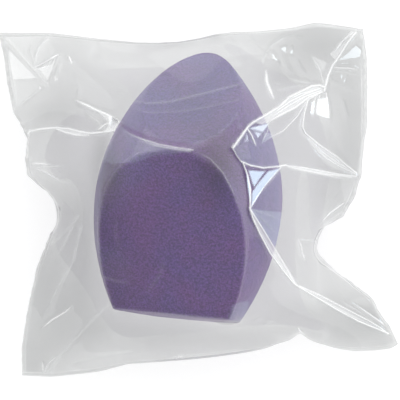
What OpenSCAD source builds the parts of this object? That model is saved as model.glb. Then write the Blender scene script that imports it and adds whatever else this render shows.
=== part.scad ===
// Bevelled makeup sponge, egg shaped, sealed in a clear film pouch.
// The pouch lies on its back: +Z up, +X across the sponge, +Y towards its tip.
// Z = 0 is the surface the pouch lies on. Millimetres.

/* [Sponge] */
// Height of the whole egg before its tip is cut, base to tip
egg_h = 61.5; // [59:0.5:64]
// Largest diameter of the egg
egg_d = 42.2; // [40:0.2:43]
// Diameter of the flat base
base_d = 28.6; // [24:0.2:32]
// Height of the largest diameter above the base
belly_h = 25; // [22:0.5:28]
// Width of the small bevel around the base
base_bevel = 0.8; // [0.2:0.1:1.5]

/* [Lower cut face] */
// Distance of the lower cut from the egg's axis, at 30 above the base
low_cut = 17.4; // [16:0.1:18.5]
// Slope of the lower cut against the axis, towards the base
low_slope = 22.5; // [15:0.5:28]
// Turn of the lower cut about the axis
low_turn = -14; // [-20:1:0]

/* [Upper cut face] */
// Distance of the upper cut from the egg's axis, at 45 above the base
up_cut = 11.6; // [10:0.1:13]
// Slope of the upper cut against the axis, towards the tip
up_slope = 42; // [37:0.5:47]
// Turn of the upper cut about the axis
up_turn = -10; // [-18:1:0]

/* [How the sponge lies] */
// Lean of the axis away from +Y
lean = 6; // [0:0.5:9]
// Dip of the tip below level
dip = 4.5; // [2:0.5:6]

/* [Film] */
// Thickness of each film panel, thicker than real film so that it stays a solid
film_t = 0.3; // [0.2:0.05:0.4]
// Room between the film and the foam
film_gap = 0.8; // [0.5:0.1:1.2]
// Width of the welded edge
weld_w = 1.5; // [1:0.1:2]
// Share of each ray under the sponge that lies flat on the table
flat_share = 0.5; // [0.4:0.02:0.56]

/* [Hidden] */

egg_r = egg_d / 2;
base_r = base_d / 2;

// middle of the flat base
base_x = -5.2;
base_y = -26.1;
base_z = egg_r + 0.1 + film_t + belly_h * sin(dip);
base_p = [base_x, base_y, base_z];

// the sponge's own directions: across, along the axis, out of the cut side
dir_u = [cos(lean), -sin(lean), 0];
dir_a = [sin(lean) * cos(dip), cos(lean) * cos(dip), -sin(dip)];
dir_w = cross(dir_u, dir_a);

// radius of the egg at a height above its base
function radius_at(h) =
    h < 0 ? 0 :
    h <= belly_h ? egg_r - (egg_r - base_r) * pow((belly_h - h) / belly_h, 2) :
    h < egg_h ? egg_r * pow(1 - pow((h - belly_h) / (egg_h - belly_h), 2), 0.8) : 0;

// how far a cut lies in front of the axis, at a place across and along the egg
function cut_at(u, h, off, at, slope, turn) =
    (off * cos(slope) - u * sin(turn) * cos(slope) + (h - at) * sin(slope)) / (cos(turn) * cos(slope));

function low_at(u, h) = cut_at(u, h, low_cut, 30, low_slope, low_turn);
function up_at(u, h) = cut_at(u, h, up_cut, 45, -up_slope, up_turn);

// height of the foam's upper side above the table, or -1 beside it
function foam_top(x, y, z = 30, n = 5) =
    let (d = [x, y, z] - base_p, u = d * dir_u, h = d * dir_a,
         r = radius_at(h), q = r * r - u * u)
    q <= 0 ? -1 :
    let (w = min(sqrt(q), low_at(u, h), up_at(u, h)),
         zn = base_z + (w - (x - base_x) * dir_w[0] - (y - base_y) * dir_w[1]) / dir_w[2])
    n == 0 ? zn : foam_top(x, y, zn, n - 1);

// The pouch's rim, clockwise from its top left corner: x, y and height.
// It is drawn in beside the sponge's belly and flares out at the corners.
rim = [
    [-46, 38.3, 1.6], [-38.6, 38.7, 3], [-33.5, 38.4, 4.2], [-28.5, 37.8, 6], [-22.4, 36.8, 9],
    [-14.1, 35.9, 13], [-9.5, 35.7, 15], [-4.7, 35.9, 16.5], [-0.4, 36.6, 17], [4, 37.7, 16.6],
    [8.4, 38.2, 14.5], [12.7, 38.4, 12], [17, 38.9, 9.5], [21.5, 39.6, 7.2], [26.8, 41, 5.2],
    [32.2, 40.4, 3],
    [37.8, 39.5, 1.6], [38.7, 34.4, 2.6], [38.8, 28.4, 4], [38.6, 23, 5.4], [38.2, 17.8, 6.8],
    [37.2, 13, 8], [37, 9.2, 8.8], [36.9, 5.4, 9.6], [35.4, 0.2, 10.6], [32.3, -3.9, 11.5],
    [27.6, -6.8, 12.3], [26.8, -9.1, 12.5], [27.2, -11.9, 12.3], [28.5, -14.8, 11.4], [34.3, -18.5, 9],
    [39.2, -23.2, 6], [44, -29.3, 3],
    [46, -33.4, 1.6], [44.5, -34.5, 1.8], [40.4, -35, 2.4], [36.4, -35, 3.6], [32.1, -34.3, 5.6],
    [27.9, -33.2, 7.8], [24.4, -32, 9.6], [21.4, -32, 10.8], [18.2, -32.8, 12], [15, -33.9, 13.2],
    [11.6, -34.6, 14.2], [7.8, -35.2, 14.8], [4, -35.7, 15.2], [-0.4, -36.2, 15.3], [-4.7, -36.6, 15],
    [-10.6, -37.1, 13], [-16.5, -37.6, 10.6], [-23.7, -39.7, 6.5], [-34.4, -41, 3],
    [-41.2, -40.7, 1.6], [-41.3, -35.2, 2.6], [-40.6, -29.8, 4], [-39.5, -24.4, 5.6], [-38.5, -20, 7],
    [-37.4, -15.6, 8.4], [-34.3, -8, 11], [-32, -4.4, 12], [-31.9, -2.1, 12.2], [-34.4, 2, 11.5],
    [-39.2, 6, 9.6], [-40, 9.5, 8.6], [-39.6, 14.1, 7.4], [-42.5, 20.2, 5.6], [-43.4, 25.8, 4.4],
    [-44.3, 31.3, 3.2]
];
rays = len(rim);
top_right = 16;
bottom_right = 33;
bottom_left = 52;

// the point that the film's rays start from
hub = [-2, -3];
rings = 14;
// small steps to a ring, and how far the foam is widened
fine = 3;
steps = rings * fine;
widen = 1.4;
// the rings of each panel, as shares of a ray: the lower one is flat in the middle
front_shares = [for (j = [0:rings]) j / rings];
back_shares = [0, 0.24, 0.48, 0.56, 0.64, 0.72, 0.8, 0.88, 0.94, 1];

function flat2(p) = [p[0], p[1]];
// where the film ends and the weld starts on a ray
function inner_xy(k) = let (v = flat2(rim[k]) - hub) hub + v * (1 - weld_w / norm(v));
function ray_xy(k, s) = hub + (inner_xy(k) - hub) * s;

// the foam's upper side, widened a little so that the film clears its edges
function wide_top(x, y) = max([for (d = [[0, 0], [1, 0], [-1, 0], [0, 1], [0, -1], [0.7, 0.7], [0.7, -0.7], [-0.7, 0.7], [-0.7, -0.7]])
    foam_top(x + d[0] * widen, y + d[1] * widen)]);

// height of the foam plus room, at each small step of a ray
function ray_tops(k) = [for (i = [0:steps]) let (p = ray_xy(k, i / steps), t = wide_top(p[0], p[1]))
    t < 0 ? -1 : t + film_gap];

// the film lies on the foam and then runs straight to the rim
function taut(tops, i_at, z_end) = max([for (i = [0:i_at])
    tops[i] < 0 ? z_end : tops[i] + (z_end - tops[i]) * (i == steps ? 1 : (i_at - i) / (steps - i))]);

function front_z(k) = let (tops = ray_tops(k)) [for (j = [0:rings]) max(taut(tops, j * fine, rim[k][2]), rim[k][2])];
function back_z(k) = [for (s = back_shares) s <= flat_share ? 0 :
    (rim[k][2] - film_t) * pow((s - flat_share) / (1 - flat_share), 1.6)];

// A sheet over all the rays, with rings at the given shares and a table of their heights
module sheet_solid(shares, heights) {
    last = len(shares) - 1;
    n_side = last * rays + 1;
    pts = [for (side = [1, 0]) each concat(
        [for (j = [1:last]) for (k = [0:rays - 1])
            let (p = ray_xy(k, shares[j])) [p[0], p[1], heights[k][j] + side * film_t]],
        [[hub[0], hub[1], heights[0][0] + side * film_t]])];
    function at(side, j, k) = side * n_side + (j - 1) * rays + (k % rays);
    function mid(side) = side * n_side + last * rays;
    faces = concat(
        [for (k = [0:rays - 1]) [mid(0), at(0, 1, k), at(0, 1, k + 1)]],
        [for (k = [0:rays - 1]) [mid(1), at(1, 1, k + 1), at(1, 1, k)]],
        [for (j = [1:last - 1]) for (k = [0:rays - 1]) each [
            [at(0, j, k), at(0, j + 1, k), at(0, j + 1, k + 1)],
            [at(0, j, k), at(0, j + 1, k + 1), at(0, j, k + 1)],
            [at(1, j, k), at(1, j + 1, k + 1), at(1, j + 1, k)],
            [at(1, j, k), at(1, j, k + 1), at(1, j + 1, k + 1)]]],
        [for (k = [0:rays - 1]) each [
            [at(0, last, k + 1), at(0, last, k), at(1, last, k)],
            [at(0, last, k + 1), at(1, last, k), at(1, last, k + 1)]]]);
    polyhedron(points = pts, faces = faces, convexity = 8);
}

// A welded strip of both panels, from one rim point to another
module weld_strip(from, to) {
    n = to - from;
    pts = [for (i = [0:n]) let (k = (from + i) % rays, p = inner_xy(k), q = rim[k], z = q[2]) each [
        [p[0], p[1], z + film_t], [q[0], q[1], z + film_t],
        [q[0], q[1], z - film_t], [p[0], p[1], z - film_t]]];
    faces = concat(
        [[1, 0, 3], [1, 3, 2]],
        [[4 * n, 4 * n + 1, 4 * n + 2], [4 * n, 4 * n + 2, 4 * n + 3]],
        [for (i = [0:n - 1]) let (a = 4 * i, b = 4 * i + 4) each [
            [a, a + 1, b + 1], [a, b + 1, b],
            [a + 3, b + 3, b + 2], [a + 3, b + 2, a + 2],
            [b + 1, a + 1, a + 2], [b + 1, a + 2, b + 2],
            [a, b, b + 3], [a, b + 3, a + 3]]]);
    polyhedron(points = pts, faces = faces, convexity = 6);
}

// Everything in front of a cut plane, in the sponge's own frame
module cut_block(off, at, slope, turn) {
    translate([0, 0, at])
        rotate([0, 0, turn])
            translate([0, -off, 0])
                rotate([slope, 0, 0])
                    translate([-60, -80, -90]) cube([120, 80, 180]);
}

// The foam egg, cut twice on its front: one face below and one above
module sponge() {
    n = 44;
    side = [for (i = [0:n - 1]) let (h = base_bevel + (egg_h - base_bevel) * i / n) [radius_at(h), h]];
    color([0.45, 0.37, 0.55])
        translate(base_p)
            rotate([0, 0, -lean])
                rotate([-90 - dip, 0, 0])
                    difference() {
                        rotate_extrude($fn = 96)
                            polygon(concat([[0, 0], [base_r - base_bevel, 0]], side, [[0, egg_h]]));
                        cut_block(low_cut, 30, low_slope, low_turn);
                        cut_block(up_cut, 45, -up_slope, up_turn);
                    }
}

// Film panel over the sponge
module front_film() {
    color([0.86, 0.87, 0.9, 0.4]) sheet_solid(front_shares, [for (k = [0:rays - 1]) front_z(k)]);
}

// Film panel under the sponge
module back_film() {
    color([0.82, 0.84, 0.88, 0.4]) sheet_solid(back_shares, [for (k = [0:rays - 1]) back_z(k)]);
}

// Welded edge beyond the tip
module top_weld() {
    color([0.9, 0.9, 0.93, 0.6]) weld_strip(0, top_right);
}

// Welded edge on the right
module right_weld() {
    color([0.9, 0.9, 0.93, 0.6]) weld_strip(top_right, bottom_right);
}

// Welded edge beyond the base
module bottom_weld() {
    color([0.9, 0.9, 0.93, 0.6]) weld_strip(bottom_right, bottom_left);
}

// Welded edge on the left
module left_weld() {
    color([0.9, 0.9, 0.93, 0.6]) weld_strip(bottom_left, rays);
}

sponge();
front_film();
back_film();
top_weld();
right_weld();
bottom_weld();
left_weld();
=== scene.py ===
# A purple bevelled makeup sponge sealed in a clear film pouch, lying on its back.
# Lengths in the simulation are millimetres; every Blender object is in metres.
from math import sin, cos, radians, pi

import bmesh
import bpy
import numpy as np
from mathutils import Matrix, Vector


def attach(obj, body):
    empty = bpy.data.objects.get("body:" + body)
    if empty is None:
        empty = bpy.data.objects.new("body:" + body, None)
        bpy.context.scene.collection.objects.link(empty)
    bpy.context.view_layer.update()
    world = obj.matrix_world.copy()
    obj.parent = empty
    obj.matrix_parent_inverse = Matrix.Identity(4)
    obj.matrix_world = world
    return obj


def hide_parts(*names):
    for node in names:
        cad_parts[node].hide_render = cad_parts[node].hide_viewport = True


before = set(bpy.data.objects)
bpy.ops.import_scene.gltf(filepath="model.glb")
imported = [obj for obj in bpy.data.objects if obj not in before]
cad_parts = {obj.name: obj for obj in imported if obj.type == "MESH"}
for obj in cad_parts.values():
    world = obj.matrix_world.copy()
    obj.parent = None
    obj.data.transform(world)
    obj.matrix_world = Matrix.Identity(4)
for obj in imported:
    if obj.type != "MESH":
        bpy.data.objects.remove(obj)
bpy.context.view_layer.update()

SCENE = bpy.context.scene
MM = 0.001

# ------------------------------------------------------------------ camera
cam = bpy.data.cameras.new("camera")
cam_ob = bpy.data.objects.new("camera", cam)
SCENE.collection.objects.link(cam_ob)
cam.sensor_fit = "HORIZONTAL"
cam.sensor_width = 36.0
cam.lens = 279.6
cam.clip_start = 0.01
cam.clip_end = 20.0
cam_ob.location = (0.00008, -0.00006, 0.0215 + 0.70)
cam_ob.rotation_euler = (0.0, 0.0, 0.0)
SCENE.camera = cam_ob

# ------------------------------------------------------------------ simulation of the pouch
import time
# ---------- the sponge, as in the part (mm) ----------
EGG_R, BASE_R, BELLY, EGG_H = 21.1, 14.3, 25.0, 61.5
LEAN, DIP = radians(6.0), radians(4.5)
BASE = np.array([-5.2, -26.1, EGG_R + 0.4 + BELLY * sin(DIP)])
DU = np.array([cos(LEAN), -sin(LEAN), 0.0])
DA = np.array([sin(LEAN) * cos(DIP), cos(LEAN) * cos(DIP), -sin(DIP)])
DW = np.cross(DU, DA)
def cut_plane(off, at, slope, turn):
    s, t = radians(slope), radians(turn)
    # normal in (u, h, w) and its offset, so that n.p - c > 0 is cut away
    n = np.array([sin(t) * cos(s), -sin(s), cos(t) * cos(s)])
    c = off * cos(s) - at * sin(s)
    return n, c
LOWN, LOWC = cut_plane(17.4, 30.0, 22.5, -14.0)
UPN, UPC = cut_plane(11.6, 45.0, -42.0, -10.0)

def egg_radius(h):
    lo = EGG_R - (EGG_R - BASE_R) * ((BELLY - h) / BELLY) ** 2
    q = np.clip((h - BELLY) / (EGG_H - BELLY), 0, None)
    hi = EGG_R * np.clip(1 - q * q, 1e-6, None) ** 0.8
    r = np.where(h <= BELLY, lo, hi)
    return np.where(h > EGG_H, EGG_H - h, r)

def smax(a, b, k):
    t = np.clip(k - np.abs(a - b), 0, None) / k
    return np.maximum(a, b) + t * t * k * 0.25

def foam_sdf(P, k=1.6, thick=1.0, zc=21.5):
    X = P - BASE
    if thick != 1.0:
        X = X.copy(); X[..., 2] = (zc + (P[..., 2] - zc) / thick) - BASE[2]
    u, h, w = X @ DU, X @ DA, X @ DW
    u = u - 1.0 * np.clip((h - 46) / 15.5, 0, 1) ** 2
    rho = np.sqrt(u * u + w * w)
    r = egg_radius(h)
    dr = (egg_radius(h + 0.2) - egg_radius(h - 0.2)) / 0.4
    f = (rho - r) / np.sqrt(1 + np.clip(dr, -3, 3) ** 2)
    f = smax(f, -h, k)
    # the lower cut is a little bowed, hollow toward the tip and rounded at the sides
    bow = 2.0 * np.clip((-u - 6) / 13, 0, 1.3) ** 2 * np.clip((h - 14) / 12, 0, 1)
    bow += 1.4 * np.clip((u + 1) / 16, 0, 1.3) ** 2 * np.clip((h - 24) / 12, 0, 1)
    bow -= 2.2 * np.clip((h - 24) / 23, 0, 1.3) ** 2
    f = smax(f, LOWN[0] * u + LOWN[1] * h + LOWN[2] * w - LOWC + bow, k)
    f = smax(f, UPN[0] * u + UPN[1] * h + UPN[2] * w - UPC, k)
    return f

# ---------- the rim, as in the part ----------
RIM = np.array([
    [-46, 38.3, 1.6], [-38.6, 38.7, 3], [-33.5, 38.4, 4.2], [-28.5, 37.8, 6], [-22.4, 36.8, 9],
    [-14.1, 35.9, 13], [-9.5, 35.7, 15], [-4.7, 35.9, 16.5], [-0.4, 36.6, 17], [4, 37.7, 16.6],
    [8.4, 38.2, 14.5], [12.7, 38.4, 12], [17, 38.9, 9.5], [21.5, 39.6, 7.2], [26.8, 41, 5.2],
    [32.2, 40.4, 3],
    [37.8, 39.5, 1.6], [38.7, 34.4, 2.6], [38.8, 28.4, 4], [38.6, 23, 5.4], [38.2, 17.8, 6.8],
    [37.2, 13, 8], [37, 9.2, 8.8], [36.9, 5.4, 9.6], [35.4, 0.2, 10.6], [32.3, -3.9, 11.5],
    [27.6, -6.8, 12.3], [26.8, -9.1, 12.5], [27.2, -11.9, 12.3], [28.5, -14.8, 11.4], [34.3, -18.5, 9],
    [39.2, -23.2, 6], [44, -29.3, 3],
    [46, -33.4, 1.6], [44.5, -34.5, 1.8], [40.4, -35, 2.4], [36.4, -35, 3.6], [32.1, -34.3, 5.6],
    [27.9, -33.2, 7.8], [24.4, -32, 9.6], [21.4, -32, 10.8], [18.2, -32.8, 12], [15, -33.9, 13.2],
    [11.6, -34.6, 14.2], [7.8, -35.2, 14.8], [4, -35.7, 15.2], [-0.4, -36.2, 15.3], [-4.7, -36.6, 15],
    [-10.6, -37.1, 13], [-16.5, -37.6, 10.6], [-23.7, -39.7, 6.5], [-34.4, -41, 3],
    [-41.2, -40.7, 1.6], [-41.3, -35.2, 2.6], [-40.6, -29.8, 4], [-39.5, -24.4, 5.6], [-38.5, -20, 7],
    [-37.4, -15.6, 8.4], [-34.3, -8, 11], [-32, -4.4, 12], [-31.9, -2.1, 12.2], [-34.4, 2, 11.5],
    [-39.2, 6, 9.6], [-40, 9.5, 8.6], [-39.6, 14.1, 7.4], [-42.5, 20.2, 5.6], [-43.4, 25.8, 4.4],
    [-44.3, 31.3, 3.2]], float)
TR, BR, BL = 16, 33, 52
W, H = 92.0, 94.0

def side(a, b, n, rev=False):
    pts = np.array([RIM[i % len(RIM)] for i in range(a, b + 1)])
    if rev: pts = pts[::-1]
    d = np.r_[0, np.cumsum(np.linalg.norm(np.diff(pts, axis=0), axis=1))]
    t = np.linspace(0, d[-1], n)
    return np.stack([np.interp(t, d, pts[:, k]) for k in range(3)], 1), d[-1]

def rim_targets(nu, nv):
    top, lt = side(0, TR, nu)
    right, lr = side(TR, BR, nv, rev=True)      # bottom to top
    bottom, lb = side(BR, BL, nu, rev=True)     # left to right
    left, ll = side(BL, len(RIM), nv)           # bottom to top
    return top, right, bottom, left, (lt, lr, lb, ll)

def pull(A, B, rest, k):
    d = B - A
    l = np.sqrt(np.einsum('...i,...i->...', d, d)) + 1e-9
    c = (0.5 * k) * (1 - rest / l)
    d *= c[..., None]
    A += d; B -= d

def push(A, B, rest, k):
    """only when shorter than rest"""
    d = B - A
    l = np.sqrt(np.einsum('...i,...i->...', d, d)) + 1e-9
    c = (0.5 * k) * np.minimum(1 - rest / l, 0)
    d *= c[..., None]
    A += d; B -= d

def relax(P, hx, hy, n, thick=(1, 1), rim=(0.2, 0.2), rimz=(0.1, 0.1), bend=0.1, gap=0.25, seed=1, jitter=0.0, floor=(0, 0), mom=0.9, weight=0.0, shear=0.8):
    nv, nu = P.shape[1:3]
    top, right, bottom, left, _ = rim_targets(nu, nv)
    hd = np.hypot(hx, hy)
    rng = np.random.default_rng(seed)
    if jitter: P += rng.normal(0, jitter, P.shape)
    prev = P.copy()
    eps = 0.05
    for it in range(n):
        f = it / max(n - 1, 1)
        th = thick[0] + (thick[1] - thick[0]) * min(1, f / 0.8); kr = rim[0] + (rim[1] - rim[0]) * f; kz = rimz[0] + (rimz[1] - rimz[0]) * f
        fl = floor[0] + (floor[1] - floor[0]) * min(1, f / 0.8)
        V = (P - prev) * mom; prev = P.copy(); P += V; P[..., 2] -= weight
        # bending
        for s in (0, 2):
            for o in (0, 1):
                a = s + o
                A = P[:, :, a:nu - 2:4]; B = P[:, :, a + 2:nu:4]; m = min(A.shape[2], B.shape[2]); push(A[:, :, :m], B[:, :, :m], 2 * hx, bend)
                A = P[:, a:nv - 2:4]; B = P[:, a + 2:nv:4]; m = min(A.shape[1], B.shape[1]); push(A[:, :m], B[:, :m], 2 * hy, bend)
        # shear
        for a in (0, 1):
            for b in (0, 1):
                A = P[:, a:nv - 1:2, b:nu - 1:2]; B = P[:, a + 1:nv:2, b + 1:nu:2]
                m, k = min(A.shape[1], B.shape[1]), min(A.shape[2], B.shape[2]); pull(A[:, :m, :k], B[:, :m, :k], hd, shear)
                A = P[:, a:nv - 1:2, b + 1:nu:2]; B = P[:, a + 1:nv:2, b:nu - 1:2]
                m, k = min(A.shape[1], B.shape[1]), min(A.shape[2], B.shape[2]); pull(A[:, :m, :k], B[:, :m, :k], hd, shear)
        for rep in range(2):
            for a in (0, 1):
                A = P[:, :, a:nu - 1:2]; B = P[:, :, a + 1:nu:2]; m = min(A.shape[2], B.shape[2]); pull(A[:, :, :m], B[:, :, :m], hx, 1.0)
                A = P[:, a:nv - 1:2]; B = P[:, a + 1:nv:2]; m = min(A.shape[1], B.shape[1]); pull(A[:, :m], B[:, :m], hy, 1.0)
        # weld: both panels are one along the rim
        for sl in (np.s_[:, 0], np.s_[:, -1], np.s_[:, :, 0], np.s_[:, :, -1]):
            m = P[sl].mean(0); P[sl] = m
        # the rim is led to its place
        for sl, T in ((np.s_[:, -1], top), (np.s_[:, 0], bottom), (np.s_[:, :, 0], left), (np.s_[:, :, -1], right)):
            D = T - P[sl]; D[..., :2] *= kr; D[..., 2] *= kz; P[sl] += D
        # order of the panels
        d = P[1, ..., 2] - P[0, ..., 2] + 0.1
        d = np.clip(d, 0, None) * 0.5; d[0] = d[-1] = 0; d[:, 0] = d[:, -1] = 0
        P[0, ..., 2] += d; P[1, ..., 2] -= d
        # foam
        S = foam_sdf(P, thick=th) - gap
        ins = S < 0
        if ins.any():
            Q = P[ins]; s0 = S[ins]; sg = np.where(np.nonzero(ins)[0] == 0, 1.0, -1.0)
            if th < 0.95:
                Q[:, 2] += sg * np.minimum(-s0 * 1.0 + 0.02, 1.5)
            else:
                g = np.stack([(foam_sdf(Q + e) - foam_sdf(Q - e)) for e in np.eye(3) * eps], 1) / (2 * eps)
                g /= np.linalg.norm(g, axis=1)[:, None] + 1e-9
                bad = g[:, 2] * sg < -0.25
                g[bad] = 0; g[bad, 2] = sg[bad]
                Q -= g * s0[:, None]
            P[ins] = Q
        # table
        P[0, ..., 2] = np.maximum(P[0, ..., 2], fl + 0.12); P[1, ..., 2] = np.maximum(P[1, ..., 2], fl)
    return P

def upsample2(P):
    """one more row between each two, by cubic interpolation"""
    def up(A, axis):
        A = np.moveaxis(A, axis, 0); n = len(A)
        E = np.concatenate([2 * A[:1] - A[1:2], A, 2 * A[-1:] - A[-2:-1]])
        mid = (-E[:-3] + 9 * E[1:-2] + 9 * E[2:-1] - E[3:]) / 16
        out = np.empty((2 * n - 1,) + A.shape[1:]); out[0::2] = A; out[1::2] = mid
        return np.moveaxis(out, 0, axis)
    return up(up(P, 1), 2)

def simulate(verbose=False):
    t0 = time.time()
    nu, nv = 47, 48
    x = np.linspace(-W / 2, W / 2, nu); y = np.linspace(-H / 2, H / 2, nv)
    P = np.zeros((2, nv, nu, 3)); P[..., 0] = x; P[..., 1] = y[:, None]
    P[0, ..., 2] = 21.6; P[1, ..., 2] = 21.4
    hx, hy = W / (nu - 1), H / (nv - 1)
    P = relax(P, hx, hy, 700, thick=(0.02, 1), rim=(0.0, 0.05), rimz=(0.0, 0.03), bend=0.15, jitter=0.05, floor=(-5, 0), weight=0.002, seed=3)
    if verbose: print('coarse', time.time() - t0)
    P = relax(P, hx, hy, 300, rim=(0.05, 0.3), rimz=(0.03, 0.1), bend=0.12, weight=0.002, seed=4)
    if verbose: print('coarse2', time.time() - t0)
    P = upsample2(P); hx /= 2; hy /= 2
    P = relax(P, hx, hy, 500, rim=(0.3, 0.3), rimz=(0.1, 0.1), bend=0.1, jitter=0.02, weight=0.001, seed=5)
    if verbose: print('fine', time.time() - t0, P.shape)
    return P, hx, hy


# ------------------------------------------------------------------ helpers
def node_mat(name):
    m = bpy.data.materials.new(name)
    m.use_nodes = True
    m.node_tree.nodes.clear()
    return m, m.node_tree.nodes, m.node_tree.links


def mesh_from(name, verts, faces, smooth=True):
    me = bpy.data.meshes.new(name)
    verts = np.asarray(verts, np.float32) * MM
    faces = np.asarray(faces, np.int32)
    me.vertices.add(len(verts))
    me.vertices.foreach_set("co", verts.ravel())
    me.loops.add(faces.size)
    me.loops.foreach_set("vertex_index", faces.ravel())
    me.polygons.add(len(faces))
    me.polygons.foreach_set("loop_start", np.arange(0, faces.size, faces.shape[1], dtype=np.int32))
    me.polygons.foreach_set("loop_total", np.full(len(faces), faces.shape[1], np.int32))
    me.update(calc_edges=True)
    me.validate()
    me.polygons.foreach_set("use_smooth", np.full(len(me.polygons), smooth))
    ob = bpy.data.objects.new(name, me)
    SCENE.collection.objects.link(ob)
    return ob


def grid_faces(nv, nu, flip=False):
    i = np.arange(nv * nu).reshape(nv, nu)
    f = np.stack([i[:-1, :-1], i[:-1, 1:], i[1:, 1:], i[1:, :-1]], -1).reshape(-1, 4)
    return f[:, ::-1] if flip else f


def grow(P, k):
    """k - 1 more rows between each two, along a smooth curve"""
    t = np.arange(k) / k
    wts = np.stack([-t + 2 * t**2 - t**3, 2 - 5 * t**2 + 3 * t**3, t + 4 * t**2 - 3 * t**3, -t**2 + t**3], 1) * 0.5

    def up(A, axis):
        A = np.moveaxis(A, axis, 0)
        n = len(A)
        E = np.concatenate([2 * A[:1] - A[1:2], A, 2 * A[-1:] - A[-2:-1]])
        out = np.empty(((n - 1) * k + 1,) + A.shape[1:])
        for j in range(k):
            out[j::k][: n - 1] = sum(wts[j, q] * E[q : q + n - 1] for q in range(4))
        out[-1] = A[-1]
        return np.moveaxis(out, 0, axis)

    return up(up(P, 0), 1)


# ------------------------------------------------------------------ the foam egg
def foam_mesh(n=128):
    a = np.tan(np.linspace(-pi / 4, pi / 4, n + 1))
    X, Y = np.meshgrid(a, a)
    one = np.ones_like(X)
    sides = [(one, X, Y), (-one, Y, X), (Y, one, X), (X, -one, Y), (X, Y, one), (Y, X, -one)]
    V = np.concatenate([np.stack(s, -1).reshape(-1, 3) for s in sides])
    F = np.concatenate([grid_faces(n + 1, n + 1) + k * (n + 1) ** 2 for k in range(6)])
    key = np.round(V * 1e5).astype(np.int64)
    _, first, inv = np.unique(key, axis=0, return_index=True, return_inverse=True)
    inv = inv.reshape(-1)
    V, F = V[first], inv[F]
    V /= np.linalg.norm(V, axis=1)[:, None]
    # stretch the directions along the egg, so that its faces stay even
    c = BASE + DA * 29.0 - DW * 1.0
    D = V[:, :1] * DU + V[:, 1:2] * DA * 1.35 + V[:, 2:3] * DW
    D /= np.linalg.norm(D, axis=1)[:, None]
    lo, hi = np.zeros(len(D)), np.full(len(D), 45.0)
    for _ in range(26):
        mid = (lo + hi) / 2
        inside = foam_sdf(c + D * mid[:, None], k=0.4) < 0
        lo, hi = np.where(inside, mid, lo), np.where(inside, hi, mid)
    return c + D * ((lo + hi) / 2)[:, None], F


def value_noise(P, scale, seed):
    """smooth noise in 3D, from a seeded lattice"""
    rng = np.random.default_rng(seed)
    L = rng.uniform(-1, 1, (32, 32, 32))
    Q = P / scale
    i = np.floor(Q).astype(int)
    f = Q - i
    f = f * f * (3 - 2 * f)
    out = 0
    for dx in (0, 1):
        for dy in (0, 1):
            for dz in (0, 1):
                w = (f[:, 0] if dx else 1 - f[:, 0]) * (f[:, 1] if dy else 1 - f[:, 1]) * (f[:, 2] if dz else 1 - f[:, 2])
                out = out + w * L[(i[:, 0] + dx) % 32, (i[:, 1] + dy) % 32, (i[:, 2] + dz) % 32]
    return out


V, F = foam_mesh()
C = V.mean(0)
N = V - C
N /= np.linalg.norm(N, axis=1)[:, None]
V = V + N * (value_noise(V, 9.0, 11) * 0.12 + value_noise(V, 0.9, 12) * 0.035)[:, None]
egg = mesh_from("foam_egg", V, F)
if egg.data.polygons[0].normal.dot(egg.data.polygons[0].center - Vector(C * MM)) < 0:
    egg.data.flip_normals()

m, nd, ln = node_mat("foam")
out = nd.new("ShaderNodeOutputMaterial")
bs = nd.new("ShaderNodeBsdfPrincipled")
bs.inputs["Roughness"].default_value = 0.92
bs.inputs["Specular IOR Level"].default_value = 0.25
bs.inputs["Sheen Weight"].default_value = 0.25
bs.inputs["Sheen Roughness"].default_value = 0.6
tc = nd.new("ShaderNodeTexCoord")
def noise(scale, detail, rough=0.6):
    n = nd.new("ShaderNodeTexNoise")
    n.inputs["Scale"].default_value = scale
    n.inputs["Detail"].default_value = detail
    n.inputs["Roughness"].default_value = rough
    ln.new(tc.outputs["Object"], n.inputs["Vector"])
    return n
def ramp(src, stops):
    r = nd.new("ShaderNodeValToRGB")
    while len(r.color_ramp.elements) < len(stops):
        r.color_ramp.elements.new(0.5)
    for e, (p, c) in zip(r.color_ramp.elements, stops):
        e.position = p
        e.color = c
    ln.new(src, r.inputs["Fac"])
    return r
def mix(a, b, fac, mode="MIX"):
    x = nd.new("ShaderNodeMix")
    x.data_type = "RGBA"
    x.blend_type = mode
    ln.new(a, x.inputs[6])
    ln.new(b, x.inputs[7])
    if isinstance(fac, float):
        x.inputs[0].default_value = fac
    else:
        ln.new(fac, x.inputs[0])
    return x
big = noise(115.0, 2.0)
fine = noise(2200.0, 3.0, 0.6)
speck = noise(4200.0, 2.0, 0.6)
base = ramp(big.outputs["Fac"], [(0.36, (0.117, 0.0545, 0.258, 1)), (0.5, (0.131, 0.0535, 0.251, 1)), (0.64, (0.147, 0.052, 0.247, 1))])
gr = ramp(fine.outputs["Fac"], [(0.37, (0.60, 0.60, 0.62, 1)), (0.63, (1.38, 1.38, 1.36, 1))])
sp = ramp(speck.outputs["Fac"], [(0.37, (0.60, 0.60, 0.64, 1)), (0.60, (1.20, 1.20, 1.20, 1))])
m1 = mix(base.outputs["Color"], gr.outputs["Color"], 0.8, "MULTIPLY")
m2 = mix(m1.outputs[2], sp.outputs["Color"], 0.7, "MULTIPLY")
ln.new(m2.outputs[2], bs.inputs["Base Color"])
b1 = nd.new("ShaderNodeBump")
b1.inputs["Strength"].default_value = 0.6
b1.inputs["Distance"].default_value = 0.00012
ln.new(speck.outputs["Fac"], b1.inputs["Height"])
b2 = nd.new("ShaderNodeBump")
b2.inputs["Strength"].default_value = 0.5
b2.inputs["Distance"].default_value = 0.0003
ln.new(fine.outputs["Fac"], b2.inputs["Height"])
ln.new(b1.outputs["Normal"], b2.inputs["Normal"])
ln.new(b2.outputs["Normal"], bs.inputs["Normal"])
ln.new(bs.outputs["BSDF"], out.inputs["Surface"])
egg.data.materials.append(m)
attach(egg, "root")
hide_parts("sponge")

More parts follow.
